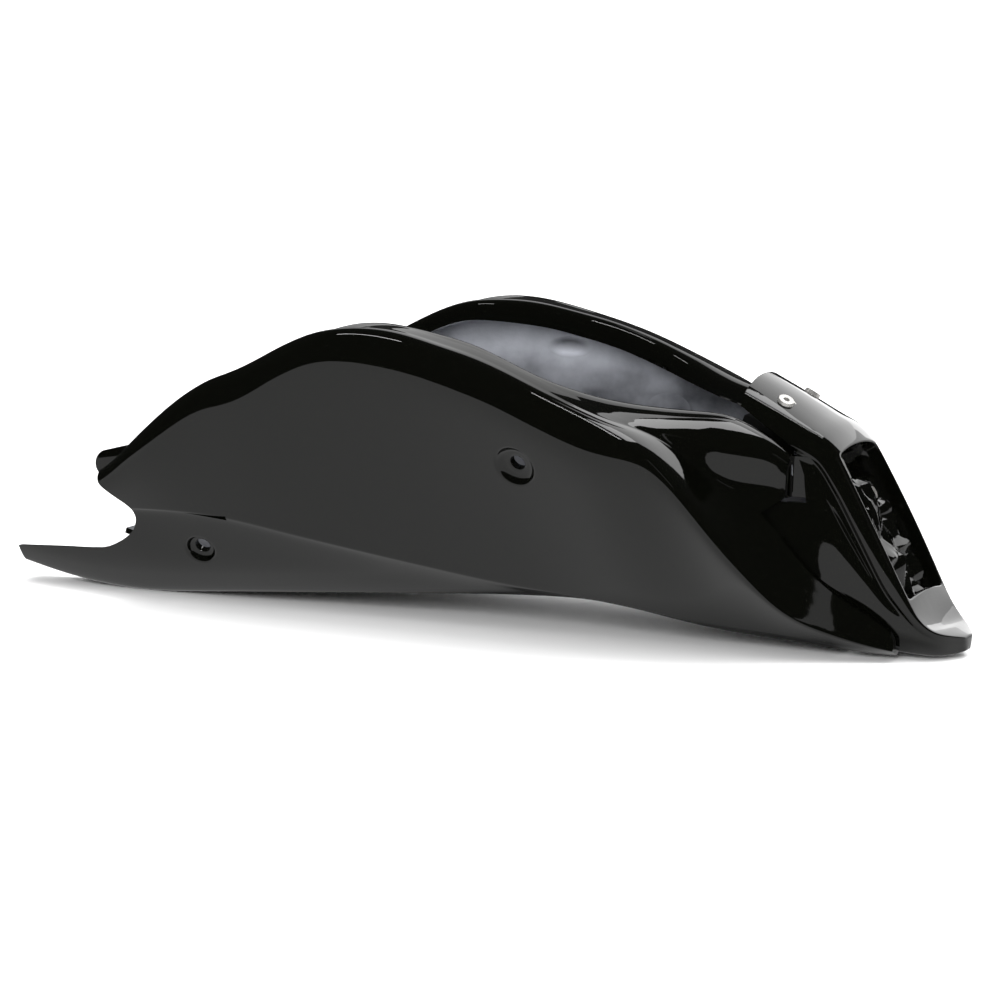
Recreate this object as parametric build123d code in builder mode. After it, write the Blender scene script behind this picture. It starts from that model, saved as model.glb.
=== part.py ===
from build123d import *
import os

os.makedirs("parts", exist_ok=True)

wall = 3.0
tail_end = -240.0
box_start = 82.0
box_end = 158.0
wing_end = 216.0
nose_start = 129.5
nose_end = 240.0
nose_turn = 174.0
roll_depth = 15.0
nose_roll_share = 0.45
lip_depth = 10.0
lip_lean = 3.0
floor_end = 180.0
floor_end_half_width = 37.0
tail_cut_depth = 50.0
tail_cut_half_width = 48.0

# Lengthwise lines of one side of the pan, each point as (x, half-width, height).
keel_line = ((-262, 62, 15), (-240, 62, 9.5), (-219, 61, 4.6), (-198, 60, 1.4), (-171, 58, 0), (-115, 57, 4.6),
             (-48, 55, 10.4), (29, 52, 16.6), (70, 50, 17.2), (121, 45, 9.4), (169, 36, 4.8), (197, 29, 1.6),
             (230, 16, 0))
hip_line = ((-262, 79, 34), (-190, 88, 42), (-167, 91.5, 45.5), (-123, 92, 46), (-77, 86, 39), (-27, 78, 31),
            (23, 71, 24), (61, 64, 20.5), (121, 57, 13.5), (169, 47, 9), (197, 38, 4.6), (230, 22, 2))
crest_line = ((-262, 93, 50), (-205, 96, 54), (-180, 98, 65), (-160, 101, 85.5), (-138, 103, 105.5),
              (-117, 104, 118.5), (-106, 104.5, 120.5), (-85, 105, 133.5), (-64, 106, 143.5), (-43, 106.5, 146),
              (-15, 107, 143), (7, 108, 138), (33, 110, 130.5), (56, 111, 121.5), (83, 109, 111),
              (95, 107, 106), (110, 102, 98), (132, 91, 71), (147, 83, 51), (166, 69, 26), (186, 56, 15),
              (212, 38.5, 6), (230, 24, 3))
ledge_line = ((-262, 89, 50.5), (-180, 93, 65), (-106, 95, 121), (-43, 95, 146), (7, 98, 139.5),
              (56, 103, 122.5), (83, 100, 112), (100, 88, 104), (115, 76, 92), (132, 63.5, 80), (147, 53.5, 77),
              (158, 47, 76.5), (168, 44.5, 64), (187, 41.5, 35), (210, 36, 18), (230, 24, 9))
deck_line = ((-262, 86, 51), (-180, 89, 65), (-106, 87, 121.5), (-43, 83, 146), (7, 88, 140),
             (56, 95, 122.5), (83, 93, 113), (100, 85.5, 109), (115, 74.5, 104.5), (132, 63, 101),
             (147, 53, 98.5), (158, 46, 95.5), (168, 42, 80), (187, 38, 47), (210, 31, 24), (230, 21, 11))
rim_line = ((-262, 82, 51), (-180, 84, 65), (-160, 83, 86), (-138, 81, 106), (-106, 77, 122), (-75, 73, 139),
            (-56, 70, 145.5), (-42, 70, 146), (-15, 77, 144), (5, 77, 140.5), (24, 83, 133), (48, 85, 123.5),
            (73, 75, 116.5), (100, 55, 113), (126, 39, 112.5), (140, 38, 107), (158, 37.5, 96.5), (168, 35, 84),
            (187, 30, 52), (210, 23, 26), (230, 16, 12))

# Lengthwise lines of one side of the nose cover; its front stretches with the reach of the nose.
front = [nose_turn + share * (nose_end - nose_turn) for share in (0.24, 0.47, 0.70, 0.82, 0.88, 0.94, 1.0)]
brow_line = ((118, 31, 126.5), (145, 31, 114.6), (160, 31, 108), (nose_turn, 31.5, 100.5), (front[0], 32.5, 76),
             (front[1], 32.5, 49.5), (front[2], 30, 23), (front[3], 25.5, 15), (front[4], 20.5, 13),
             (front[5], 12.5, 11.5), (front[6], 4, 10))
flank_line = ((118, 60, 90), (145, 54, 71), (158, 50, 58), (nose_turn, 44, 40), (front[0], 38.5, 23.5),
              (front[1], 33, 14), (front[2], 28.5, 9), (front[3], 24.5, 7.5), (front[4], 19.5, 7),
              (front[5], 11.5, 7), (front[6], 3.5, 7))
chin_line = ((118, 62, 60), (145, 57, 41), (158, 52, 28), (nose_turn, 44, 13), (front[0], 32, 6.5),
             (front[1], 27, 4), (front[2], 22, 2.2), (front[3], 19, 1.8), (front[4], 15, 2),
             (front[5], 8.5, 2.6), (front[6], 2.5, 4))
crown_line = ((118, 0, 8.5), (145, 0, 7.5), (nose_turn, 0, 4.5), (front[0], 0, 5), (front[1], 0, 5),
              (front[2], 0, 2), (front[3], 0, 0.8), (front[6], 0, 0.5))

# Edges in side view, each point as (x, height).
notch_edge = ((-246, 17.6), (-215, 20.4), (-191, 22.3), (-179, 26.6), (-166.5, 39), (-168, 47), (-181, 56.5),
              (-184, 62), (-178, 72))
pocket_edge = ((158, 60.5), (168, 48), (187, 30), (200, 22), (208, 16.5), (212.5, 9.5), (211.5, 2), (207, -6))
cover_edge = ((120, 121), (131, 115.5), (157.2, 98.5), (164, 86), (167, 73.5), (154, 73.5), (145.5, 69),
              (144, 66), (150.5, 56.5), (168, 33))

# Slot on the crease, and the lug behind the flange's rear end.
slot_front = -116.0
slot_length = 22.0
slot_height = 45.0
slot_gap = 3.2
slot_depth = 4.5
lug_x = -181.0
lug_height = 68.5
lug_offset = 88.0
lug_radius = 7.0
lug_reach = 19.0
lug_thickness = 3.0
lug_turn = 16.0

# Mounting holes in the pan's sides.
rear_hole_x = -134.0
rear_hole_height = 27.0
rear_seat_diameter = 14.0
upper_hole_x = 42.0
upper_hole_height = 87.0
upper_seat_diameter = 19.5
mount_bore_diameter = 7.8
mount_seat_depth = 3.2
mount_pad_depth = 7.0
mount_pad_margin = 3.5

# Saddle between the two sides, and the screws through the nose cover into it.
saddle_half_width = 40.0
saddle_thickness = 3.4
saddle_behind = 17.3
saddle_ahead = 9.2
bridge_screw_x = 146.8
bridge_screw_offset = 20.0
bridge_seat_depth = 1.2
bridge_joint_depth = 5.0
bridge_post_end = 19.5
bridge_post_diameter = 13.0
bridge_head_diameter = 11.8
bridge_head_height = 3.2
bridge_shank_diameter = 5.0
bridge_bore_diameter = 5.4
bridge_nut_width = 8.0
bridge_nut_height = 4.0
bridge_socket_radius = 1.75

# Intake recess in the nose cover's front, and the screws in its back wall.
intake_upper_reach = 55.0
intake_lower_reach = 21.0
intake_upper_half_width = 28.0
intake_lower_half_width = 25.0
intake_corner = 7.0
intake_depth = 10.0
intake_wall = 2.5
duct_screw_offset = 16.5
duct_screw_rise = 32.0
duct_head_diameter = 8.0
duct_head_height = 2.4
duct_shank_diameter = 4.0
duct_bore_diameter = 4.3
duct_nut_width = 7.0
duct_nut_height = 3.2
duct_socket_radius = 1.4


def along(line, x):
    """Half-width and height of a lengthwise line at x, on a smooth curve through its points."""
    x = min(max(x, line[0][0]), line[-1][0])
    i = max(k for k in range(len(line) - 1) if k == 0 or line[k][0] <= x)
    here = line[i]
    there = line[i + 1]
    before = line[max(i - 1, 0)]
    after = line[min(i + 2, len(line) - 1)]
    span = there[0] - here[0]
    t = (x - here[0]) / span
    point = []
    for axis in (1, 2):
        slope_here = (there[axis] - before[axis]) / (there[0] - before[0]) * span
        slope_there = (after[axis] - here[axis]) / (after[0] - here[0]) * span
        value = here[axis] * (2 * t**3 - 3 * t**2 + 1) + there[axis] * (3 * t**2 - 2 * t**3)
        value += slope_here * (t**3 - 2 * t**2 + t) + slope_there * (t**3 - t**2)
        point.append(value)
    return Vector(*point)


def skin(x):
    """Outer skin of one side at x, from the floor's middle outwards: point, arriving and leaving direction."""
    keel = along(keel_line, x)
    hip = along(hip_line, x)
    crest = along(crest_line, x)
    ledge = along(ledge_line, x)
    deck = along(deck_line, x)
    rim = along(rim_line, x)
    roll = min(roll_depth, 0.3 * (crest.Y - hip.Y))
    roll *= 1 - (1 - nose_roll_share) * min(max((x - box_start) / 30, 0), 1)
    shoulder = crest + Vector(0.45 * roll, -roll)
    lip = rim - Vector(lip_lean, min(lip_depth, 0.5 * (rim.X - 15)))
    level = Vector(1, 0)
    brink = Vector(0, 1)
    drop = Vector(0, -1)
    bilge = (hip - keel + Vector(8, 0)).normalized()
    side = (shoulder - hip - Vector(0, 0.2 * (shoulder.Y - hip.Y))).normalized()
    run = (ledge - crest).normalized()
    rise = (deck - ledge).normalized()
    into = (rim - deck).normalized()
    path = [(Vector(0, keel.Y), level, level), (keel, level, level), (hip, bilge, side)]
    path.append((shoulder, brink, brink))
    for point, a, b in ((crest, run, brink), (ledge, run, rise), (deck, rise, into), (rim, into, drop)):
        bend = (a + b).normalized()
        path.append((point, bend, bend))
    path.append((lip, drop, drop))
    return path


def inward(path, inset):
    """The path moved in from the skin."""
    moved = []
    for point, arrive, leave in path:
        mean = (arrive + leave).normalized()
        moved.append((point + Vector(-mean.Y, mean.X) * inset, arrive, leave))
    return moved


def handles(path):
    """Control points of the curves between the points; a handle is held back by a short neighbour."""
    chords = [(b[0] - a[0]).length for a, b in zip(path, path[1:])]
    curves = []
    for k, (a, b) in enumerate(zip(path, path[1:])):
        start = 0.36 * min(chords[k], 1.5 * chords[max(k - 1, 0)])
        end = 0.36 * min(chords[k], 1.5 * chords[min(k + 1, len(chords) - 1)])
        curves.append((a[0], a[0] + a[2] * start, b[0] - b[1] * end, b[0]))
    return curves


def where(curve, measure, value):
    """Point and direction on a cubic curve where a measure that grows along it has a given value."""
    a, b, c, d = curve
    low = 0.0
    high = 1.0
    for _ in range(30):
        t = (low + high) / 2
        point = a * (1 - t)**3 + b * (3 * t * (1 - t)**2) + c * (3 * t * t * (1 - t)) + d * t**3
        if measure(point) < value:
            low = t
        else:
            high = t
    return point, (b - a) * (1 - t)**2 + (c - b) * (2 * t * (1 - t)) + (d - c) * t**2


def side_shell(start, stop, count):
    """Thin shell of one side between two stations."""
    with BuildPart() as shell:
        for k in range(count):
            x = start + (stop - start) * k / (count - 1)
            outside = skin(x)
            inside = inward(outside, min(wall, 0.3 * (along(crest_line, x).Y - along(keel_line, x).Y)))
            with BuildSketch(Plane(origin=(x, 0, 0), x_dir=(0, 1, 0), z_dir=(1, 0, 0))):
                with BuildLine():
                    for curve in handles(outside):
                        Bezier(*curve)
                    Line(outside[-1][0], inside[-1][0])
                    for curve in handles(inside):
                        Bezier(*curve)
                    Line(inside[0][0], outside[0][0])
                make_face()
        loft()
    return shell.part


def wall_plane(x, height):
    """Plane on the outer skin, facing out of it, at a given station and height below the shoulder."""
    curve = handles(skin(x))[2 if height > along(hip_line, x).Y else 1]
    point, upward = where(curve, lambda p: p.Y, height)
    return Plane(origin=(x, point.X, point.Y), x_dir=(1, 0, 0), z_dir=(0, upward.Y, -upward.X))


def crown_curve(x, inset):
    """Top of the nose cover's section at x, from its middle to its brow."""
    brow = along(brow_line, x) - Vector(inset, 0)
    crown = Vector(0, brow.Y + along(crown_line, x).Y)
    return crown, Vector(0.55 * brow.X, crown.Y), brow + (crown - brow) * 0.18, brow


def bridge_plane(side):
    """Plane on the top of the nose cover's bridge, facing out of it, at one of the two screws."""
    point, outward = where(crown_curve(bridge_screw_x, 0), lambda p: p.X, bridge_screw_offset)
    ahead, _ = where(crown_curve(bridge_screw_x + 1, 0), lambda p: p.X, bridge_screw_offset)
    normal = (point.Y - ahead.Y, -side * outward.Y / outward.X, 1)
    return Plane(origin=(bridge_screw_x, side * bridge_screw_offset, point.Y), x_dir=(0, 1, 0), z_dir=normal)


def nose_solid(inset, back, down, stop):
    """Half of the nose cover's form, drawn in by the inset and moved back and down."""
    with BuildPart() as form:
        for k in range(14):
            x = stop - (stop - nose_start) * (1 - k / 13)**1.5
            crown, over, fall, brow = crown_curve(x, inset)
            flank = along(flank_line, x) - Vector(inset, 0)
            chin = along(chin_line, x) + Vector(-inset, inset if x > floor_end + 4 else -2 * inset)
            with BuildSketch(Plane(origin=(x - back, 0, -down), x_dir=(0, 1, 0), z_dir=(1, 0, 0))):
                with BuildLine():
                    Bezier(crown, over, fall, brow)
                    Line(brow, flank)
                    Line(flank, chin)
                    Line(chin, Vector(0, chin.Y))
                    Line(Vector(0, chin.Y), crown)
                make_face()
        loft()
    return form.part


def intake_outline(margin):
    """Corners of the intake, its upper two cut off, let out by a margin."""
    top = intake_upper_reach + margin
    foot = -intake_lower_reach - margin
    upper = intake_upper_half_width + margin
    lower = intake_lower_half_width + margin
    half = ((lower, foot), (upper, top - intake_corner), (upper - intake_corner, top))
    return half + tuple((-y, z) for y, z in reversed(half))


rear_mount = wall_plane(rear_hole_x, rear_hole_height)
upper_mount = wall_plane(upper_hole_x, upper_hole_height)
bridge_axes = [bridge_plane(side) for side in (-1, 1)]
front_top = along(brow_line, front[0]).Y
front_foot = along(brow_line, front[2]).Y
intake = Plane(origin=((front[0] + front[2]) / 2, 0, (front_top + front_foot) / 2), x_dir=(0, 1, 0),
               z_dir=(front_top - front_foot, 0, front[2] - front[0]))
duct_spots = ((-duct_screw_offset, duct_screw_rise), (duct_screw_offset, duct_screw_rise))
rear_shell = side_shell(tail_end, box_start, 12)
front_shell = side_shell(box_start, wing_end, 15)
nose_form = nose_solid(0, 0, 0, nose_end)
nose_hollow = nose_solid(wall, 2.6, 1.5, front[4])

# The pan: one side lofted and trimmed in side view, then mirrored and joined by a saddle at the front.
with BuildPart() as pan:
    add(rear_shell)
    add(front_shell)
    # Notch and tongue at the tail
    with BuildSketch(Plane.XZ):
        with BuildLine():
            Polyline(notch_edge[-1], (-178, 90), (-290, 90), (-290, 15), notch_edge[0])
            Spline(*notch_edge)
        make_face()
    extrude(amount=200, both=True, mode=Mode.SUBTRACT)
    # Pocket edge of the wing, in front of the box
    with BuildSketch(Plane.XZ):
        with BuildLine():
            Polyline(pocket_edge[-1], (260, -6), (260, 140), (box_end, 140), (box_end, 76), (150, 69),
                     pocket_edge[0])
            Spline(*pocket_edge)
        make_face()
    extrude(amount=200, both=True, mode=Mode.SUBTRACT)
    # Front and rear edges of the floor
    with BuildSketch(Plane.XY.offset(-5)):
        Polygon((floor_end, -1), (floor_end, floor_end_half_width), (floor_end + 20, floor_end_half_width - 5),
                (wing_end + 4, floor_end_half_width - 13), (wing_end + 4, -1), align=None)
        with Locations((tail_end, 0)):
            Ellipse(tail_cut_depth, tail_cut_half_width)
    extrude(amount=22, mode=Mode.SUBTRACT)
    # Mounting pads, seats and bores
    for mount, seat in ((rear_mount, rear_seat_diameter), (upper_mount, upper_seat_diameter)):
        with BuildSketch(mount.offset(-mount_pad_depth)):
            Circle(seat / 2 + mount_pad_margin)
        extrude(amount=mount_pad_depth - 0.5 * wall)
        with BuildSketch(mount.offset(-mount_seat_depth)):
            Circle(seat / 2)
        extrude(amount=20, mode=Mode.SUBTRACT)
        with BuildSketch(mount.offset(-2 * mount_pad_depth)):
            Circle(mount_bore_diameter / 2)
        extrude(amount=40, mode=Mode.SUBTRACT)
    # Wedge-shaped slot on the crease
    with BuildSketch(Plane.XY.offset(slot_height)):
        crease = along(hip_line, slot_front).X
        Polygon((slot_front - slot_length, crease + 2), (slot_front, crease + 2),
                (slot_front, crease - slot_depth), align=None)
    extrude(amount=slot_gap / 2, both=True, mode=Mode.SUBTRACT)
    # Lug
    lug_middle = (lug_x + lug_reach / 2, lug_offset, lug_height)
    with BuildSketch(Plane(origin=lug_middle, x_dir=(1, 0, 0), z_dir=(0, -1, 0))):
        SlotCenterToCenter(lug_reach, 2 * lug_radius, rotation=lug_turn)
    extrude(amount=lug_thickness / 2, both=True)
    mirror(about=Plane.XZ)
    # Saddle with its two screw posts
    with BuildSketch(Plane.XZ):
        tops = [(x, along(rim_line, x).Y - 0.1) for x in (
            bridge_screw_x - saddle_behind, bridge_screw_x - 0.4 * saddle_behind, bridge_screw_x + saddle_ahead)]
        Polygon(*tops, *[(x, z - saddle_thickness) for x, z in reversed(tops)], align=None)
    extrude(amount=saddle_half_width, both=True)
    for axis in bridge_axes:
        with BuildSketch(axis.offset(-bridge_post_end)):
            Circle(bridge_post_diameter / 2)
        extrude(amount=bridge_post_end - bridge_joint_depth)
        with BuildSketch(axis.offset(-bridge_post_end)):
            Circle(bridge_bore_diameter / 2)
        extrude(amount=bridge_post_end, mode=Mode.SUBTRACT)

# The nose cover: a hollow form, trimmed in side view, with the intake recess sunk into its front.
with BuildPart() as cover:
    add(nose_form)
    add(nose_hollow, mode=Mode.SUBTRACT)
    with BuildSketch(Plane.XZ):
        Polygon(*cover_edge, (floor_end + 2, 14), (floor_end + 8, -8), (110, -8), align=None)
    extrude(amount=200, both=True, mode=Mode.SUBTRACT)
    mirror(about=Plane.XZ)
    # Intake recess
    with BuildSketch(intake.offset(-intake_depth - intake_wall)):
        Polygon(*intake_outline(intake_wall), align=None)
    extrude(amount=intake_depth + intake_wall - 1)
    with BuildSketch(intake.offset(-intake_depth)):
        Polygon(*intake_outline(0), align=None)
    extrude(amount=intake_depth + 20, mode=Mode.SUBTRACT)
    with BuildSketch(intake.offset(-intake_depth - 2 * intake_wall)):
        with Locations(*duct_spots):
            Circle(duct_bore_diameter / 2)
    extrude(amount=4 * intake_wall, mode=Mode.SUBTRACT)
    # Pads, seats and bores of the bridge screws
    for axis in bridge_axes:
        with BuildSketch(axis.offset(-bridge_joint_depth)):
            Circle(bridge_post_diameter / 2)
        extrude(amount=bridge_joint_depth - 0.5 * wall)
        with BuildSketch(axis.offset(-bridge_seat_depth)):
            Circle(bridge_head_diameter / 2 + 0.3)
        extrude(amount=6, mode=Mode.SUBTRACT)
        with BuildSketch(axis.offset(-bridge_post_end)):
            Circle(bridge_bore_diameter / 2)
        extrude(amount=2 * bridge_post_end, mode=Mode.SUBTRACT)

# Bridge screws: flanged button heads on the cover, shanks down through the saddle posts.
with BuildPart() as bridge_screws:
    for axis in bridge_axes:
        with BuildSketch(axis.offset(-bridge_seat_depth)):
            Circle(bridge_head_diameter / 2)
        extrude(amount=0.35 * bridge_head_height)
        with BuildSketch(axis.offset(-bridge_seat_depth)):
            Circle(0.39 * bridge_head_diameter)
        extrude(amount=bridge_head_height, taper=14)
        with BuildSketch(axis.offset(0.5 * bridge_head_height - bridge_seat_depth)):
            RegularPolygon(bridge_socket_radius, 6)
        extrude(amount=bridge_head_height, mode=Mode.SUBTRACT)
        with BuildSketch(axis.offset(-bridge_post_end - bridge_nut_height - 1)):
            Circle(bridge_shank_diameter / 2)
        extrude(amount=bridge_post_end + bridge_nut_height + 1 - bridge_seat_depth)

# Bridge nuts, under the saddle posts.
with BuildPart() as bridge_nuts:
    for axis in bridge_axes:
        with BuildSketch(axis.offset(-bridge_post_end - bridge_nut_height)):
            RegularPolygon(bridge_nut_width / 2, 6, major_radius=False)
            Circle(bridge_shank_diameter / 2, mode=Mode.SUBTRACT)
        extrude(amount=bridge_nut_height)

# Duct screws, in the back wall of the intake recess.
with BuildPart() as duct_screws:
    with BuildSketch(intake.offset(-intake_depth)):
        with Locations(*duct_spots):
            Circle(duct_head_diameter / 2)
    extrude(amount=duct_head_height, taper=20)
    with BuildSketch(intake.offset(-intake_depth + 0.45 * duct_head_height)):
        with Locations(*duct_spots):
            RegularPolygon(duct_socket_radius, 6)
    extrude(amount=duct_head_height, mode=Mode.SUBTRACT)
    with BuildSketch(intake.offset(-intake_depth - intake_wall - duct_nut_height - 1)):
        with Locations(*duct_spots):
            Circle(duct_shank_diameter / 2)
    extrude(amount=intake_wall + duct_nut_height + 1)

# Duct nuts, behind that wall.
with BuildPart() as duct_nuts:
    with BuildSketch(intake.offset(-intake_depth - intake_wall - duct_nut_height)):
        with Locations(*duct_spots):
            RegularPolygon(duct_nut_width / 2, 6, major_radius=False)
            Circle(duct_shank_diameter / 2, mode=Mode.SUBTRACT)
    extrude(amount=duct_nut_height)

pan.part.label = "pan"
cover.part.label = "nose_cover"
bridge_screws.part.label = "bridge_screws"
bridge_nuts.part.label = "bridge_nuts"
duct_screws.part.label = "duct_screws"
duct_nuts.part.label = "duct_nuts"
export_step(pan.part, "parts/pan.step")
export_step(cover.part, "parts/nose_cover.step")
export_step(bridge_screws.part, "parts/bridge_screws.step")
export_step(bridge_nuts.part, "parts/bridge_nuts.step")
export_step(duct_screws.part, "parts/duct_screws.step")
export_step(duct_nuts.part, "parts/duct_nuts.step")
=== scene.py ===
import bmesh
import bpy
import math
from mathutils import Matrix, Vector, noise
from mathutils.bvhtree import BVHTree


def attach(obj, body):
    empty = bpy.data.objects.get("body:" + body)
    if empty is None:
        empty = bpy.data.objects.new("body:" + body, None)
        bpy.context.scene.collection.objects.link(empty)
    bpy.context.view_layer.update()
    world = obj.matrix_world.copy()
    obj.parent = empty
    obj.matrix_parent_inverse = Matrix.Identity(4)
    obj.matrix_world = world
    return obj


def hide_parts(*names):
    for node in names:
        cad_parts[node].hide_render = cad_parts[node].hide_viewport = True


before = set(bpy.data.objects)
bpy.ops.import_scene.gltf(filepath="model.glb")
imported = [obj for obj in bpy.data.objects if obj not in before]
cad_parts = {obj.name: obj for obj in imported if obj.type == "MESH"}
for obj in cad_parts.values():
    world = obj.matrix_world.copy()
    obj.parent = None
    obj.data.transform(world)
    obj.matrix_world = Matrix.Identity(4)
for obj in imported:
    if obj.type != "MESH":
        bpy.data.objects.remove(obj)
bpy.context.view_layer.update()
scene = bpy.context.scene
scene.view_settings.view_transform = "Standard"

# Pan: the trough itself, two like sides and a floor in one moulding, turned over along the top as a flange.
# Glass fibre laid up in a polished mould: black gel coat outside, the bare back of the laminate inside.
# A grid bent round half sections, mirrored, thickened, then cut to its side view and bored.
tail = -240
wing_end = 216
pan_rows = 42
wall = 3
box_start = 82
box_turn = 95
crease_end = 70
deck_crown = 2.4
deck_middle = 118
deck_half = 36
crease_edge = Vector((0.5, 0.7))
crease_foot = Vector((-2.0, -0.9))

# Each line runs along one side from tail to nose, by x, half-width and height.
# The part's sizes are in millimetres, and become metres in the meshes.
keel_line = ((-262, 62, 15), (-240, 62, 9.5), (-219, 61, 4.6), (-198, 60, 1.4), (-171, 58, 0),
             (-115, 57, 4.6), (-48, 55, 10.4), (29, 52, 16.6), (70, 50, 17.2), (121, 45, 9.4),
             (169, 36, 4.8), (197, 29, 1.6), (230, 16, 0))
hip_line = ((-262, 79, 34), (-190, 88, 42), (-167, 91.5, 45.5), (-123, 92, 46), (-77, 86, 39),
            (-27, 78, 31), (23, 71, 24), (61, 64, 20.5), (121, 57, 13.5), (169, 47, 9), (197, 38, 4.6),
            (230, 22, 2))
crest_line = ((-262, 93, 50), (-205, 96, 54), (-180, 98, 65), (-160, 101, 85.5), (-138, 103, 105.5),
              (-117, 104, 118.5), (-106, 104.5, 120.5), (-85, 105, 133.5), (-64, 106, 143.5),
              (-43, 106.5, 146), (-15, 107, 143), (7, 108, 138), (33, 110, 130.5), (56, 111, 121.5),
              (83, 109, 111), (95, 107, 106), (110, 102, 98), (132, 91, 71), (147, 83, 51), (166, 69, 26),
              (186, 56, 15), (212, 38.5, 6), (230, 24, 3))
ledge_line = ((-262, 89, 50.5), (-180, 93, 65), (-106, 95, 121), (-43, 95, 146), (7, 98, 139.6),
              (30, 100.5, 133.4), (56, 103, 123.6), (83, 100, 113.2), (100, 88.5, 107), (115, 77.5, 98),
              (124, 69.5, 86), (132, 63.5, 80), (147, 53.5, 77), (158, 47, 76.5), (168, 44.5, 64),
              (187, 41.5, 35), (210, 36, 18), (230, 24, 9))
deck_line = ((-262, 86, 51), (-180, 89, 65), (-106, 87, 121.5), (-43, 83, 146), (7, 88, 140.6),
             (30, 91.5, 134.2), (56, 94, 124.8), (83, 91.5, 115.4), (100, 85.5, 109), (115, 74.5, 104.5),
             (132, 63, 101), (147, 53, 98.5), (158, 46, 95.5), (168, 42, 80), (187, 38, 47), (210, 31, 24),
             (230, 21, 11))
rim_line = ((-262, 82, 51), (-180, 84, 65), (-160, 83, 86), (-138, 81, 106), (-106, 77, 122),
            (-75, 73, 139), (-56, 70, 145.5), (-42, 70, 146), (-15, 77, 144), (5, 77, 140.5),
            (24, 82.5, 135.4), (48, 84, 126.6), (73, 73.5, 119.5), (100, 54, 115.5), (126, 39, 113.2),
            (140, 38, 107), (158, 37.5, 96.5), (168, 35, 84), (187, 30, 52), (210, 23, 26), (230, 16, 12))


def along(line, x):
    """Half-width and height of a lengthwise line at x, on a smooth curve through its points."""
    i = max(k for k in range(len(line) - 1) if k == 0 or line[k][0] <= x)
    before, here, there, after = (line[min(max(i + k, 0), len(line) - 1)] for k in (-1, 0, 1, 2))
    span = there[0] - here[0]
    t = (x - here[0]) / span
    point = []
    for axis in (1, 2):
        slope_here = (there[axis] - before[axis]) / (there[0] - before[0]) * span
        slope_there = (after[axis] - here[axis]) / (after[0] - here[0]) * span
        value = here[axis] * (2 * t**3 - 3 * t**2 + 1) + there[axis] * (3 * t**2 - 2 * t**3)
        point.append(value + slope_here * (t**3 - 2 * t**2 + t) + slope_there * (t**3 - t**2))
    return Vector(point)


def pan_section(x):
    """Points of the outer skin at x, from the middle of the floor out and up to the lip."""
    lines = (keel_line, hip_line, crest_line, ledge_line, deck_line, rim_line)
    keel, hip, crest, ledge, deck, rim = (along(line, x) for line in lines)
    boxed = min(max((x - box_start) / 30, 0), 1)
    roll = min(15, 0.3 * (crest.y - hip.y)) * (1 - 0.55 * boxed)
    shoulder = crest + Vector((0.45 * roll, -roll))
    lip = rim - Vector((3, min(10, 0.5 * (rim.x - 15))))
    level = Vector((1, 0))
    brink = Vector((0, 1))
    drop = Vector((0, -1))
    run = (ledge - crest).normalized()
    rise = (deck - ledge).normalized()
    into = (rim - deck).normalized()
    bilge = (hip - keel + Vector((8, 0))).normalized()
    side = (shoulder - hip - Vector((0, 0.2 * (shoulder.y - hip.y)))).normalized()
    under = (level * 0.6 + bilge * 0.4).normalized()
    halves = (0, 0.5)

    # Each knot has its point, the ways in and out of it, and the shares of the leg after it that get a point.
    knots = [(Vector((0, keel.y)), level, level, (0, 0.5, 0.95)),
             (keel, level, under, (0, 0.06, 0.35, 0.65, 0.95)),
             (hip, bilge, side, (0, 0.03, 0.2, 0.4, 0.6, 0.8)),
             (shoulder, brink, brink, halves)]
    for point, a, b in ((crest, run, brink), (ledge, run, rise), (deck, rise, into), (rim, into, drop)):
        bend = (a + b).normalized()
        knots.append((point, bend, bend, (0, 0.2, 0.8) if point is ledge else halves))
    knots.append((lip, drop, drop, (0,)))

    chords = [(b[0] - a[0]).length for a, b in zip(knots, knots[1:])]
    step = min(max((crease_end - x) / 60, 0), 1)
    points = []
    for k, ((start, _, leaving, shares), (end, arriving, _, _)) in enumerate(zip(knots, knots[1:])):
        pull = 0.14 if start is ledge and x >= box_turn else 0.36
        first = start + leaving * pull * min(chords[k], 1.5 * chords[max(k - 1, 0)])
        second = end - arriving * pull * min(chords[k], 1.5 * chords[min(k + 1, len(chords) - 1)])
        for t in shares:
            point = start * (1 - t)**3 + 3 * first * t * (1 - t)**2
            point += 3 * second * t**2 * (1 - t) + end * t**3
            if start is deck and t:
                point.y += deck_crown * max(0, 1 - ((x - deck_middle) / deck_half)**2)
            if start is hip and t == 0:
                point += crease_edge * step
            if start is keel and t > 0.9:
                point = hip + crease_foot * step + (point - hip) * (1 - step)
            points.append(point)
    return points + [lip]


def bent_grid(stations, section):
    """Half of a skin: a grid whose rows are the half sections at the stations, in metres."""
    rows = [section(x) for x in stations]
    across = len(rows[0]) - 1
    bm = bmesh.new()
    bmesh.ops.create_grid(bm, x_segments=len(rows) - 1, y_segments=across, size=1)
    row_layer = bm.verts.layers.int.new("row")
    column_layer = bm.verts.layers.int.new("column")
    for vert in bm.verts:
        row = round((vert.co.x + 1) / 2 * (len(rows) - 1))
        column = round((vert.co.y + 1) / 2 * across)
        vert[row_layer] = row
        vert[column_layer] = column
        vert.co = Vector((stations[row], *rows[row][column])) / 1000
    return bm


def finish_mesh(name, bm):
    """The mesh as an object in the scene, its edges smooth."""
    mesh = bpy.data.meshes.new(name)
    bm.to_mesh(mesh)
    bm.free()
    mesh.shade_smooth()
    made = bpy.data.objects.new(name, mesh)
    scene.collection.objects.link(made)
    return made


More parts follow.
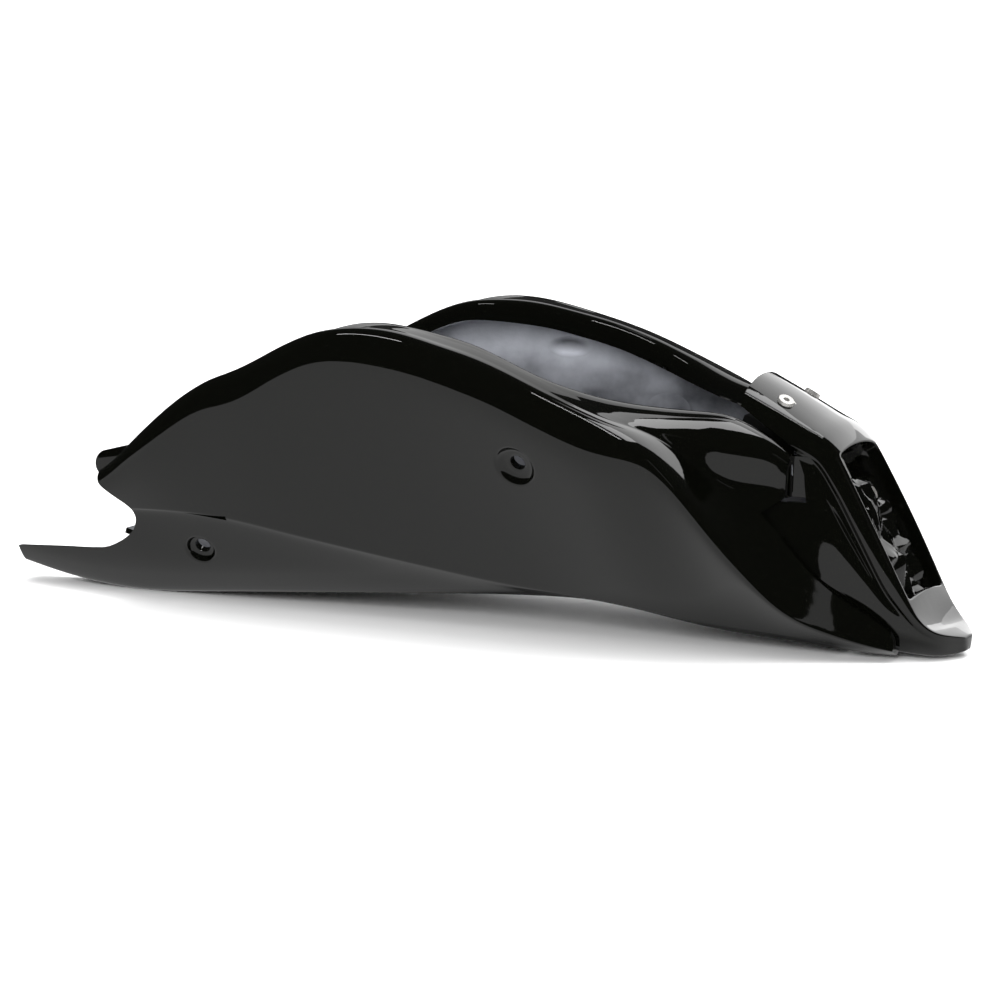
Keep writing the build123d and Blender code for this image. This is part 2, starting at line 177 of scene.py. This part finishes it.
def draw_out(bm, faces, way):
    """Draws faces out by a vector; gives the faces at the far end, and their vertices."""
    grown = bmesh.ops.extrude_face_region(bm, geom=faces)["geom"]
    far_verts = [v for v in grown if isinstance(v, bmesh.types.BMVert)]
    bmesh.ops.translate(bm, verts=far_verts, vec=way)
    return [f for f in grown if isinstance(f, bmesh.types.BMFace)], far_verts


def prism(outline, low, high, side_view=False):
    """A block with an outline in plan or in side view, drawn out between two places, in millimetres."""
    bm = bmesh.new()

    def at(a, b, depth):
        return Vector((a, depth, b) if side_view else (a, b, depth)) / 1000

    face = bm.faces.new([bm.verts.new(at(a, b, low)) for a, b in outline])
    draw_out(bm, [face], at(0, 0, high - low))
    bmesh.ops.recalc_face_normals(bm, faces=bm.faces)
    return bm


def carve(piece, cutters):
    """The piece with its modifiers worked in and the cutters taken out of it."""
    for cutter in cutters:
        cut = piece.modifiers.new(cutter.name, "BOOLEAN")
        cut.object = cutter
        cut.operation = "DIFFERENCE"
        cut.solver = "MANIFOLD"
    done = piece.evaluated_get(bpy.context.evaluated_depsgraph_get())
    piece.data = bpy.data.meshes.new_from_object(done)
    piece.modifiers.clear()
    for cutter in cutters:
        bpy.data.objects.remove(cutter)
    piece.data.shade_smooth()
    piece.data.set_sharp_from_angle(angle=math.radians(38))


def curved(points):
    """The points with three more between each pair, on a smooth curve through them all."""
    line = [points[0]] + list(points) + [points[-1]]
    finer = []
    for before, here, there, after in zip(line, line[1:], line[2:], line[3:]):
        for t in (0, 0.25, 0.5, 0.75):
            weights = (2 * t**2 - t - t**3, 2 - 5 * t**2 + 3 * t**3, t + 4 * t**2 - 3 * t**3, t**3 - t**2)
            knots = (before, here, there, after)
            finer.append(tuple(sum(w * knot[axis] for w, knot in zip(weights, knots)) / 2 for axis in (0, 1)))
    return finer + [points[-1]]


class Value:
    """A shader socket that takes part in sums, each of which adds a node to its tree."""

    def __init__(self, tree, socket):
        self.tree = tree
        self.socket = socket

    def node(self, kind, inputs, output=0, **settings):
        """A new node; each input is a plain value or another socket."""
        made = self.tree.nodes.new(kind)
        for name, setting in settings.items():
            setattr(made, name, setting)
        for name, given in inputs.items():
            if isinstance(given, Value):
                self.tree.links.new(given.socket, made.inputs[name])
            else:
                made.inputs[name].default_value = given
        return Value(self.tree, made.outputs[output])

    def maths(self, operation, a, b):
        return self.node("ShaderNodeMath", {0: a, 1: b}, operation=operation)

    def __add__(self, other):
        return self.maths("ADD", self, other)

    __radd__ = __add__

    def __sub__(self, other):
        return self.maths("SUBTRACT", self, other)

    def __rsub__(self, other):
        return self.maths("SUBTRACT", other, self)

    def __mul__(self, other):
        return self.maths("MULTIPLY", self, other)

    __rmul__ = __mul__

    def __truediv__(self, other):
        return self.maths("DIVIDE", self, other)

    def __rtruediv__(self, other):
        return self.maths("DIVIDE", other, self)

    def axis(self, number):
        """One of the three numbers of a place: 0 lengthways, 1 across, 2 up."""
        return self.node("ShaderNodeSeparateXYZ", {0: self}, output=number)

    def ramp(self, low, high, start=0.0, end=1.0):
        """Runs from start to end as this value goes from low to high."""
        return self.node("ShaderNodeMapRange", {0: self, 1: low, 2: high, 3: start, 4: end})

    def noise(self, scale, detail=2.0):
        return self.node("ShaderNodeTexNoise", {"Vector": self, "Scale": scale, "Detail": detail})

    def blend(self, low, high):
        """Colour between low and high."""
        return self.node("ShaderNodeMix", {0: self, 6: low, 7: high}, output=2, data_type="RGBA")

    def bump(self, strength, distance):
        return self.node("ShaderNodeBump", {"Height": self, "Strength": strength, "Distance": distance})


def material(name):
    """A new material, with its shader's inputs and the object's coordinates."""
    made = bpy.data.materials.new(name)
    made.use_nodes = True
    tree = made.node_tree
    place = Value(tree, tree.nodes.new("ShaderNodeTexCoord").outputs["Object"])
    return made, tree.nodes["Principled BSDF"].inputs, place


def feed(socket, value):
    value.tree.links.new(value.socket, socket)


# The gel coat is near black and polished, with a trace of orange peel, haze and dust.
gel_coat, shader, place = material("gel_coat_black")
shader["IOR"].default_value = 1.5
haze = place.noise(9, 3)
dust = place.noise(900, 2).ramp(0.70, 0.78)
feed(shader["Base Color"], dust.blend((0.0009, 0.0010, 0.0006, 1), (0.007, 0.007, 0.006, 1)))
feed(shader["Roughness"], haze.ramp(0.3, 0.7, 0.015, 0.045) + dust * 0.1)
peel = place.noise(55, 2) + place.noise(420, 1) * 0.04
feed(shader["Normal"], peel.bump(0.12, 0.0006))

# The laminate's back is mottled, with a shallow dent high on each side; its colour adds a painted highlight
# towards the rim, painted shade lower down, and a painted highlight below and painted shade above each dent.
laminate, shader, place = material("laminate_back")
shader["IOR"].default_value = 1.5
mottle = place.noise(38, 4)
fibre = place.noise(230, 3)
lengthways = place.axis(0)
height = place.axis(2)
dent_x = (lengthways + 0.0155) / 0.012
dent_z = (height - 0.121) / 0.0055
dent = (1 - dent_x * dent_x - dent_z * dent_z).ramp(0, 0.7)
# Painted light: the mottle is dimmed lower down as painted shade, a painted highlight is added towards the
# rim, and each dent is painted lighter below and darker above. Only the mottle is the laminate's own tone.
mottle_and_painted_light = mottle.ramp(0.36, 0.68, 0.06, 0.36) * height.ramp(0.05, 0.115, 0.3, 1)
mottle_and_painted_light = mottle_and_painted_light + height.ramp(0.1, 0.134, 0, 0.55) + dent * dent_z.ramp(-0.6, 0.6, 0.35, -0.6)
feed(shader["Base Color"], mottle_and_painted_light.blend((0.03, 0.032, 0.037, 1), (0.62, 0.64, 0.70, 1)))
feed(shader["Roughness"], fibre.ramp(0.3, 0.7, 0.28, 0.5))
feed(shader["Normal"], (mottle + fibre * 0.25 - dent).bump(0.5, 0.002))

bm = bent_grid([tail + (wing_end - tail) * k / pan_rows for k in range(pan_rows + 1)], pan_section)
bmesh.ops.mirror(bm, geom=bm.verts[:] + bm.edges[:] + bm.faces[:], axis="Y", merge_dist=0.0001)
bmesh.ops.recalc_face_normals(bm, faces=bm.faces)
pan = finish_mesh("pan_skin", bm)
pan.data.materials.append(gel_coat)
pan.data.materials.append(laminate)
smooth = pan.modifiers.new("smooth", "SUBSURF")
smooth.levels = smooth.render_levels = 2
outside = BVHTree.FromObject(pan, bpy.context.evaluated_depsgraph_get())
thick = pan.modifiers.new("thick", "SOLIDIFY")
thick.thickness = wall / 1000
thick.offset = -1
thick.material_offset = 1

# The cuts in side view are the notch over each tail tongue and the pocket behind each wing for the cover.
notch_edge = ((-246, 17.6), (-215, 20.4), (-191, 22.3), (-179, 26.6), (-170, 33), (-166.5, 39),
              (-166.3, 43), (-168, 47), (-173.5, 51.5), (-179, 56.5), (-181.5, 60), (-182, 64),
              (-180.5, 68), (-177, 72))
pocket_edge = ((158, 60.5), (168, 48), (177, 38.4), (187, 30), (200, 22), (208, 16.5), (211, 13.2),
               (212.5, 9.5), (212.6, 6), (211.5, 2), (209.6, -2), (207, -6))
notch = [(-177, 90), (-290, 90), (-290, 15)] + curved(notch_edge)
pocket = curved(pocket_edge) + [(260, -6), (260, 140), (158, 140), (158, 76), (150, 69)]
cutters = [finish_mesh("notch", prism(notch, -200, 200, side_view=True)),
           finish_mesh("pocket", prism(pocket, -200, 200, side_view=True))]

# The cuts in plan open the floor at the nose and at the tail.
tail_cut_depth = 50
tail_cut_half = 48
floor_front = ((180, 37), (200, 32), (220, 24), (220, -24), (200, -32), (180, -37))
angles = [math.tau * k / 64 for k in range(64)]
tail_cut = [(tail + tail_cut_depth * math.cos(a), tail_cut_half * math.sin(a)) for a in angles]
cutters += [finish_mesh("floor_front", prism(floor_front, -5, 17)),
            finish_mesh("tail_cut", prism(tail_cut, -5, 17))]

# A slot under the crease deepens towards the front, its bottom slanting in.
slot_start = -138
slot_end = -115
slot_low = 43.2
slot_high = 47.8
slot_slant = 2.4
crease = along(hip_line, -116).x
for side in (-1, 1):
    mouth = side * (crease + 2.5)
    wedge = ((slot_start, mouth), (slot_end, mouth), (slot_end, side * (crease - 0.4)))
    bm = prism(wedge, slot_low, slot_high)
    for vert in bm.verts:
        if vert.co.z > (slot_low + slot_high) / 2000:
            vert.co.y -= side * slot_slant / 1000
    cutters.append(finish_mesh("slot", bm))

# Mounting cups: a sunk seat with a hole at each of the four mountings, moulded with the side.
# The same laminate, gel coated, thickened behind as a pad.
# Each is a half profile spun about the hole, its rim laid on the side's own skin.
hole = 3.9
rim_width = 1.8
rim_depth = 1.5
seat_depth = 3.2
pad_depth = 7
probe = 0.03


def turned(profile, steps):
    """A profile of radius and height, in millimetres, spun about the Z axis."""
    bm = bmesh.new()
    line = [bm.verts.new(Vector((r, 0, z)) / 1000) for r, z in profile]
    edges = [bm.edges.new(pair) for pair in zip(line, line[1:])]
    bmesh.ops.spin(bm, geom=line + edges, axis=(0, 0, 1), cent=(0, 0, 0), angle=math.tau, steps=steps,
                   use_merge=True)
    bmesh.ops.remove_doubles(bm, verts=bm.verts, dist=1e-6)
    bmesh.ops.recalc_face_normals(bm, faces=bm.faces)
    return bm


cups = []
for mount_x, mount_z, seat in ((-134, 27, 7), (42, 87, 9.75)):
    for side in (-1, 1):
        start = Vector((mount_x, side * 160, mount_z)) / 1000
        spot, normal, _, _ = outside.ray_cast(start, Vector((0, -side, 0)))
        if normal.y * side < 0:
            normal = -normal
        turn = normal.to_track_quat("Z", "X").to_matrix().to_4x4()
        turn.translation = spot
        wide = (seat - 4.8) / 5
        profile = ((seat + rim_width, 0), (seat + 1.2, -0.03), (seat + 0.6, -0.3), (seat + 0.2, -0.9),
                   (seat - 0.4 * wide, -1.7), (seat - 1.3 * wide, -2.5), (seat - 2.5 * wide, -3.05),
                   (seat - 3.9 * wide, -seat_depth), (hole + 0.7, -seat_depth), (hole + 0.1, -3.5),
                   (hole, -4.2), (hole, -pad_depth), (seat + 3.5, -pad_depth), (seat + 3.5, -2))
        bm = turned(profile, 64)
        bmesh.ops.transform(bm, matrix=turn, verts=bm.verts)
        for vert in bm.verts:
            depth = (vert.co - spot).dot(normal)
            if depth > -rim_depth / 1000:
                hit, _, _, _ = outside.ray_cast(vert.co + normal * probe, -normal)
                vert.co += normal * (hit - vert.co).dot(normal) + normal * depth
        cup = finish_mesh("mounting_cup", bm)
        cup.data.set_sharp_from_angle(angle=math.radians(50))
        cup.data.materials.append(gel_coat)
        cup.data.materials.append(laminate)
        for face in cup.data.polygons:
            behind = (spot - face.center).dot(normal) > (pad_depth - 0.5) / 1000
            face.material_index = 1 if behind else 0
        cups.append(cup)
        radius = (seat + rim_width - 0.1) / 1000
        bm = bmesh.new()
        bmesh.ops.create_cone(bm, cap_ends=True, segments=64, radius1=radius, radius2=radius, depth=probe,
                              matrix=turn)
        cutters.append(finish_mesh("cup_hole", bm))
carve(pan, cutters)
for piece in [pan] + cups:
    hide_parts("pan")
    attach(piece, "root")

# Lugs: a rounded tab behind each side's flange, at its rear end.
# Moulded with the side and gel coated.
# A round plate drawn out to a slot's shape, its edges broken.
lug_radius = 7
lug_reach = 9.5
lug_thickness = 3
lug_edge = 0.7
for side in (-1, 1):
    bm = bmesh.new()
    bmesh.ops.create_circle(bm, cap_ends=True, segments=48, radius=lug_radius / 1000)
    for vert in bm.verts:
        vert.co.x += math.copysign(lug_reach / 1000, vert.co.x)
    draw_out(bm, bm.faces[:], (0, 0, lug_thickness / 1000))
    bmesh.ops.recalc_face_normals(bm, faces=bm.faces)
    flat = [e for e in bm.edges if abs(e.verts[0].co.z - e.verts[1].co.z) < 1e-6]
    bmesh.ops.bevel(bm, geom=flat, offset=lug_edge / 1000, segments=3, profile=0.5, affect="EDGES",
                    material=-1)
    stand = Matrix.Translation(Vector((-172.5, side * 88 + lug_thickness / 2, 69.5)) / 1000)
    stand = stand @ Matrix.Rotation(math.radians(-16), 4, "Y") @ Matrix.Rotation(math.radians(90), 4, "X")
    bmesh.ops.transform(bm, matrix=stand, verts=bm.verts)
    lug = finish_mesh("lug", bm)
    lug.data.set_sharp_from_angle(angle=math.radians(40))
    lug.data.materials.append(gel_coat)
    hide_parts("pan")
    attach(lug, "root")

# Saddle: the strip that ties the two sides together in front of the mouth, under the nose cover's bridge.
# Laminate like the pan's, with two posts that the bridge screws go down through.
# A strip drawn out of its side view, its ends bent down, and two short tubes leaning with the screws.
saddle_thickness = 3.4
saddle_half = 40
saddle_bend = 29
saddle_drop = 10
post_bore = 2.4
post_radius = 6.5
post_length = 14.5
post_foot = 19.5
tops = ((129.5, 111.4), (139.9, 106.9), (156, 97.9))
bottoms = tuple((x, z - saddle_thickness) for x, z in reversed(tops))
bm = prism(tops + bottoms, -saddle_half, saddle_half, side_view=True)
for side in (-1, 1):
    everything = bm.verts[:] + bm.edges[:] + bm.faces[:]
    bend = (0, side * saddle_bend / 1000, 0)
    bmesh.ops.bisect_plane(bm, geom=everything, plane_co=bend, plane_no=(0, 1, 0))
for vert in bm.verts:
    if abs(vert.co.y) > (saddle_bend + saddle_half) / 2000:
        vert.co.z -= saddle_drop / 1000
saddle = finish_mesh("saddle", bm)
saddle.data.set_sharp_from_angle(angle=math.radians(40))
tied = [saddle]
for side in (-1, 1):
    axis = Vector((0.4127, side * 0.2962, 0.8614))
    stand = axis.to_track_quat("Z", "X").to_matrix().to_4x4()
    stand.translation = (Vector((146.8, side * 20, 117.9)) - axis * post_foot) / 1000
    bm = turned(((post_bore, 0), (post_radius - 0.5, 0), (post_radius, 0.5), (post_radius, post_length - 0.5),
                 (post_radius - 0.5, post_length), (post_bore, post_length), (post_bore, 0)), 40)
    bmesh.ops.transform(bm, matrix=stand, verts=bm.verts)
    post = finish_mesh("saddle_post", bm)
    post.data.set_sharp_from_angle(angle=math.radians(40))
    tied.append(post)
for piece in tied:
    piece.data.materials.append(gel_coat)
    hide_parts("pan")
    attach(piece, "root")

# Box ends: the closed front of the box that each side makes beside the bridge.
# Moulded with the side and gel coated.
# A wall drawn up out of its plan, turning in round the corner to the nose cover.
box_foot = 75
box_top = 94.5
for side in (-1, 1):
    plan = ((149, 48.6), (153.5, 46.2), (156.4, 43.8), (157.4, 41), (157.6, 35.5), (170, 33.5), (170, 31),
            (155, 31), (154.8, 40.4), (149, 44.5))
    box_end = finish_mesh("box_end", prism([(x, side * y) for x, y in plan], box_foot, box_top))
    box_end.data.set_sharp_from_angle(angle=math.radians(45))
    box_end.data.materials.append(gel_coat)
    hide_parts("pan")
    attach(box_end, "root")

# Nose cover: a second moulding over the pan's nose, a bridge on top, two arms round an intake, and a chin.
# The same laminate and black gel coat, held by two screws through the bridge.
# A grid bent round half sections, the intake's faces pushed in twice, then trimmed to its side view.
nose_turn = 174
nose_length = 66
cover_wall = 2.6
cover_tip = 239.5
intake_top = 11
intake_foot = 19
intake_side = 3
intake_depth = 9.6
panel_bulge = 5
front = [nose_turn + share * nose_length for share in (0.24, 0.47, 0.70, 0.82, 0.88, 0.94, 1.0)]
brow_line = ((118, 31, 126.5), (145, 31, 114.6), (160, 31, 108), (nose_turn, 31.5, 100.5),
             (front[0], 32.5, 76), (front[1], 32.5, 49.5), (front[2], 30, 23), (front[3], 25.5, 15),
             (front[4], 20.5, 13), (front[5], 12.5, 11.5), (front[6], 4, 10))
flank_line = ((118, 60, 90), (145, 54, 71), (158, 50, 58), (nose_turn, 44, 40), (front[0], 38.5, 23.5),
              (front[1], 33, 14), (front[2], 28.5, 9), (front[3], 24.5, 7.5), (front[4], 19.5, 7),
              (front[5], 11.5, 7), (front[6], 3.5, 7))
chin_line = ((118, 62, 60), (145, 57, 41), (158, 52, 28), (nose_turn, 44, 13), (front[0], 32, 6.5),
             (front[1], 27, 4), (front[2], 22, 2.2), (front[3], 19, 1.8), (front[4], 15, 2),
             (front[5], 8.5, 2.6), (front[6], 2.5, 4))
crown_line = ((118, 0, 8.5), (145, 0, 7.5), (nose_turn, 0, 4.5), (front[0], 0, 5), (front[1], 0, 5),
              (front[2], 0, 2), (front[3], 0, 0.8), (front[6], 0, 0.5))
cover_stations = (129.5, 131, 136, 143, 150, 157, 163, 168, 171.5, 174.5, 177, 178.5, 182, 187, 193, 199,
                  205, 210, 214, 216.5, 218, 221, 224.5, 227.5, 230.5, 233.5, 236, 238, cover_tip)


def cover_section(x):
    """Points of the cover's outer skin at x, from the middle of the top, over the arm and under the chin."""
    brow, flank, chin, crown = (along(line, x) for line in (brow_line, flank_line, chin_line, crown_line))
    opening = brow.x - 3.6 * min(1, brow.x / 25)
    scoop = 3.0 * max(0, 1 - ((x - 223) / 7)**2)
    drop = brow.y - flank.y
    depth = min(1, drop / 30)
    points = []
    for y in (0, 0.4 * opening, 0.8 * opening, opening, opening + 0.6 * (brow.x - opening)):
        share = (y / brow.x)**2
        points.append(Vector((y, brow.y + crown.y * (1 - share**1.2) - scoop * (1 - share))))
    strip = min(11 + 4 * min(max((x - 166) / 10, 0), 1), 0.42 * drop)
    lean = (flank.x - brow.x) / max(drop, 1)
    edge = brow + Vector((lean * strip + 0.8 * depth, -strip))
    foot = edge + Vector((-1.7 * depth, -0.12 * strip))
    points += [brow + Vector((0.1, -0.08 * strip)),
               brow.lerp(edge, 0.4) + Vector((0.5 * depth, 0)),
               brow.lerp(edge, 0.93), foot]
    bulge = Vector((panel_bulge * max(0, 1 - ((x - 180) / 32)**2), 0))
    points += [foot.lerp(flank, 0.12), foot.lerp(flank, 0.28) + bulge, flank.lerp(foot, 0.1) - bulge * 0.25]
    points += [flank.lerp(chin, 0.4), chin + Vector((0, 0.4)), chin - Vector((1.5 * chin.x / 20, 0)),
               Vector((chin.x / 2, chin.y)), Vector((0, chin.y))]
    return points


bm = bent_grid(cover_stations, cover_section)
row_layer = bm.verts.layers.int["row"]
column_layer = bm.verts.layers.int["column"]


def in_intake(vert):
    return intake_top <= vert[row_layer] <= intake_foot and vert[column_layer] <= intake_side


sunk_faces = [f for f in bm.faces if all(in_intake(v) for v in f.verts)]
rise = along(brow_line, front[0]).y - along(brow_line, front[2]).y
inward = -Vector((rise, 0, front[2] - front[0])).normalized()
intake = Vector((front[1], 0, 49.5)) / 1000
for depth in (1.2, 6):
    outer_faces = sunk_faces
    sunk_faces, sunk = draw_out(bm, outer_faces, inward * depth / 1000)
    bmesh.ops.delete(bm, geom=outer_faces, context="FACES")
for vert in sunk:
    vert.co += inward * (intake_depth / 1000 - (vert.co - intake).dot(inward))
middle_faces = [f for f in bm.faces if all(abs(v.co.y) < 1e-6 for v in f.verts)]
bmesh.ops.delete(bm, geom=middle_faces, context="FACES")
bmesh.ops.mirror(bm, geom=bm.verts[:] + bm.edges[:] + bm.faces[:], axis="Y", merge_dist=0.00005)
open_tip = [e for e in bm.edges if e.is_boundary and all(v.co.x > cover_tip / 1000 for v in e.verts)]
bmesh.ops.holes_fill(bm, edges=open_tip, sides=0)
bmesh.ops.recalc_face_normals(bm, faces=bm.faces)
cover = finish_mesh("cover_skin", bm)
cover.data.materials.append(gel_coat)
cover.data.materials.append(laminate)
smooth = cover.modifiers.new("smooth", "SUBSURF")
smooth.levels = smooth.render_levels = 2
thick = cover.modifiers.new("thick", "SOLIDIFY")
thick.thickness = cover_wall / 1000
thick.offset = -1
thick.material_offset = 1
trim = ((120, 121), (131, 115.5), (157.2, 98.5), (164, 86), (167, 73.5), (154, 73.5), (147, 71.5), (145, 69),
        (144, 66), (150.5, 56.5), (168, 33), (182, 14), (188, -8), (110, -8))
carve(cover, [finish_mesh("trim", prism(trim, -200, 200, side_view=True))])
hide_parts("nose_cover")
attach(cover, "root")

# Intake lining: the crinkled back of the intake, where the cover's laminate was pressed over the duct behind.
# The same black gel coat.
# A fine grid laid over the back wall and raised in creased lumps, flat round the two duct screws.
lining_half_height = 34.5
lining_half_width = 27.2
lining_depth = 9.4
lining_lift = 8
lump_height = 7.5
lumps_per_metre = 46
crinkle_height = 2.5
crinkles_per_metre = 90
screw_flat = 5
down = Vector((front[2] - front[0], 0, -rise)).normalized()
screws = [v.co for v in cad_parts["duct_screws"].data.vertices]
seats = [sum((v for v in screws if v.y * side > 0), Vector()) / (len(screws) / 2) for side in (-1, 1)]
bm = bmesh.new()
bmesh.ops.create_grid(bm, x_segments=110, y_segments=90, size=1)
for vert in bm.verts:
    spot = intake + down * (vert.co.x * lining_half_height - lining_lift) / 1000
    spot.y += vert.co.y * lining_half_width / 1000
    flat = spot + inward * (lining_depth / 1000 - (spot - intake).dot(inward))
    clear = min((flat - seat - inward * (flat - seat).dot(inward)).length for seat in seats)
    free = min(1, max(0, (1000 * clear - screw_flat) / 6))
    edge = min(1, 6 * (1 - max(abs(vert.co.x), abs(vert.co.y))))
    cells, _ = noise.voronoi(flat * lumps_per_metre, distance_metric="MANHATTAN")
    lump = lump_height * max(0, 1.1 - cells[0])
    lump += crinkle_height * abs(noise.noise(flat * crinkles_per_metre))
    vert.co = flat - inward * lump * edge * free / 1000
bmesh.ops.recalc_face_normals(bm, faces=bm.faces)
lining = finish_mesh("intake_lining", bm)
lining.data.set_sharp_from_angle(angle=math.radians(24))
lining.data.materials.append(gel_coat)
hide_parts("nose_cover")
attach(lining, "root")

# Screws and nuts: two button-head screws through the bridge and two in the intake, with a nut behind each.
# Stainless steel, turned and lightly brushed, so the grain varies its shine.
# The bridge pair holds the nose cover to the saddle's posts; all of them stay as they come from the frame.
steel, shader, place = material("stainless_steel")
grain = place.noise(700, 2)
feed(shader["Metallic"], grain.ramp(0.3, 0.7, 0.68, 0.82))
feed(shader["Base Color"], grain.blend((0.42, 0.41, 0.39, 1), (0.62, 0.61, 0.59, 1)))
feed(shader["Roughness"], grain.ramp(0.3, 0.7, 0.2, 0.36))
for name in ("bridge_screws", "bridge_nuts", "duct_screws", "duct_nuts"):
    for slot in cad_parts[name].material_slots:
        slot.material = steel

# Floor and backdrop: white paper, flat under the part and rising behind it.
# The gloss shows the floor as an even white sheet, with a painted shadow where the part stands, and doesn't
# show the backdrop.
# Each is a line drawn out sideways.
paper_half = 3
paper, shader, place = material("white_paper")
shader["Roughness"].default_value = 0.9
shader["Specular IOR Level"].default_value = 0.1
feed(shader["Base Color"], place.noise(3, 2).blend((0.90, 0.90, 0.90, 1), (0.92, 0.92, 0.92, 1)))
tree = paper.node_tree
glossy = place.node("ShaderNodeLightPath", {}, output="Is Glossy Ray")
lit = Value(tree, tree.nodes["Principled BSDF"].outputs[0])
lengthways = place.axis(0)
across = place.axis(1)
# Painted shadow: the glow that the gloss sees from the floor is dark in a band where the part stands.
painted_shadow_under_part = across.ramp(-0.07, -0.035) * across.ramp(0.08, 0.12, 1, 0) * lengthways.ramp(0.18, 0.25, 1, 0)
glow_with_painted_shadow = painted_shadow_under_part.blend((1, 1, 1, 1), (0.06, 0.06, 0.06, 1))
glow = place.node("ShaderNodeEmission", {"Color": glow_with_painted_shadow, "Strength": 0.8})
surface = place.node("ShaderNodeMixShader", {0: glossy, 1: lit, 2: glow})
feed(tree.nodes["Material Output"].inputs["Surface"], surface)
for name, profile, mirrored in (("floor", ((-0.95, 0), (1.3, 0)), True),
                                ("backdrop", ((1.3, 0), (1.7, 0.12), (1.85, 0.4), (1.9, 2.4)), False)):
    bm = bmesh.new()
    line = [bm.verts.new((-paper_half, y, z)) for y, z in profile]
    edges = [bm.edges.new(pair) for pair in zip(line, line[1:])]
    grown = bmesh.ops.extrude_edge_only(bm, edges=edges)["geom"]
    far_verts = [v for v in grown if isinstance(v, bmesh.types.BMVert)]
    bmesh.ops.translate(bm, verts=far_verts, vec=(2 * paper_half, 0, 0))
    sheet = finish_mesh(name, bm)
    sheet.visible_glossy = mirrored
    sheet.data.materials.append(paper)

# Studio: a dark room in the gloss, white all round to the camera and to the matt surfaces.
# Three soft lamps light the part and the paper without showing in the gloss.
# Panels behind, one overhead, a strip at the right and thin tubes are what the gloss shows.
world = bpy.data.worlds.new("studio")
scene.world = world
world.use_nodes = True
tree = world.node_tree
glossy = Value(tree, tree.nodes.new("ShaderNodeLightPath").outputs["Is Glossy Ray"])
white = glossy.node("ShaderNodeBackground", {"Color": (1, 1, 1, 1), "Strength": 1.0})
dark = glossy.node("ShaderNodeBackground", {"Color": (1, 1, 1, 1), "Strength": 0.03})
surround = glossy.node("ShaderNodeMixShader", {0: glossy, 1: white, 2: dark})
feed(tree.nodes["World Output"].inputs["Surface"], surround)


def lamp(name, power, size, place, tilt=0, turn=0, mirrored=True):
    """A flat lamp that faces down, tilted about X by so many degrees, then turned about Z."""
    light = bpy.data.lights.new(name, "AREA")
    light.shape = "RECTANGLE"
    light.size, light.size_y = size
    light.energy = power
    body = bpy.data.objects.new(name, light)
    body.location = place
    body.rotation_euler = (math.radians(tilt), 0, math.radians(turn))
    body.visible_glossy = mirrored
    scene.collection.objects.link(body)


lamp("overhead", 34, (3.2, 3.2), (0, -0.1, 2.5), mirrored=False)
lamp("backdrop_light", 22, (2.4, 0.6), (0, 0.6, 1.9), tilt=40, mirrored=False)
lamp("front_fill", 26, (0.8, 0.5), (0.5, -1.7, 0.62), tilt=74, mirrored=False)
lamp("rear_panel", 6.2, (1.17, 0.85), (0.465, 1.7, 0.975), tilt=-90)
lamp("upper_panel", 7.5, (0.95, 1.25), (0.575, 1.7, 2.025), tilt=-90)
lamp("low_panel", 1.9, (0.5, 0.45), (0.1, 1.7, 0.325), tilt=-90)
lamp("low_right_panel", 2.6, (1.55, 0.45), (1.125, 1.7, 0.325), tilt=-90)
lamp("side_panel", 2.3, (1.23, 0.85), (-0.735, 1.7, 0.975), tilt=-90)
lamp("roof_panel", 8, (0.5, 1.0), (0.68, 0.95, 2.3))
lamp("right_strip", 0.3, (0.14, 1.1), (2.5, -0.62, 1.75), tilt=-90, turn=-90)
lamp("tube_near", 1.2, (0.6, 0.03), (0.45, -0.09, 1.8))
lamp("tube_far", 1.2, (0.6, 0.03), (0.45, 0.02, 1.8))
lamp("tube_left", 1.6, (0.6, 0.05), (-0.75, -0.33, 1.8))

# Camera: a long lens a little over two metres off, so near and far sides keep nearly the same size.
# It stands round towards the nose and a little above the part, rolled as the photograph is.
azimuth = math.radians(22)
elevation = math.radians(8.2)
roll = math.radians(2.3)
distance = 2.3
target = Vector((-0.0073, 0, 0.054))
level_back = Vector((math.sin(azimuth), -math.cos(azimuth), 0))
back = level_back * math.cos(elevation) + Vector((0, 0, math.sin(elevation)))
right = Vector((math.cos(azimuth), math.sin(azimuth), 0))
up = back.cross(right)
right_rolled = right * math.cos(roll) + up * math.sin(roll)
up_rolled = up * math.cos(roll) - right * math.sin(roll)
camera = bpy.data.objects.new("camera", bpy.data.cameras.new("camera"))
camera.data.lens = 165.6
camera.data.sensor_width = 36
camera.matrix_world = Matrix((right_rolled, up_rolled, back)).transposed().to_4x4()
camera.matrix_world.translation = target + back * distance
scene.collection.objects.link(camera)
scene.camera = camera
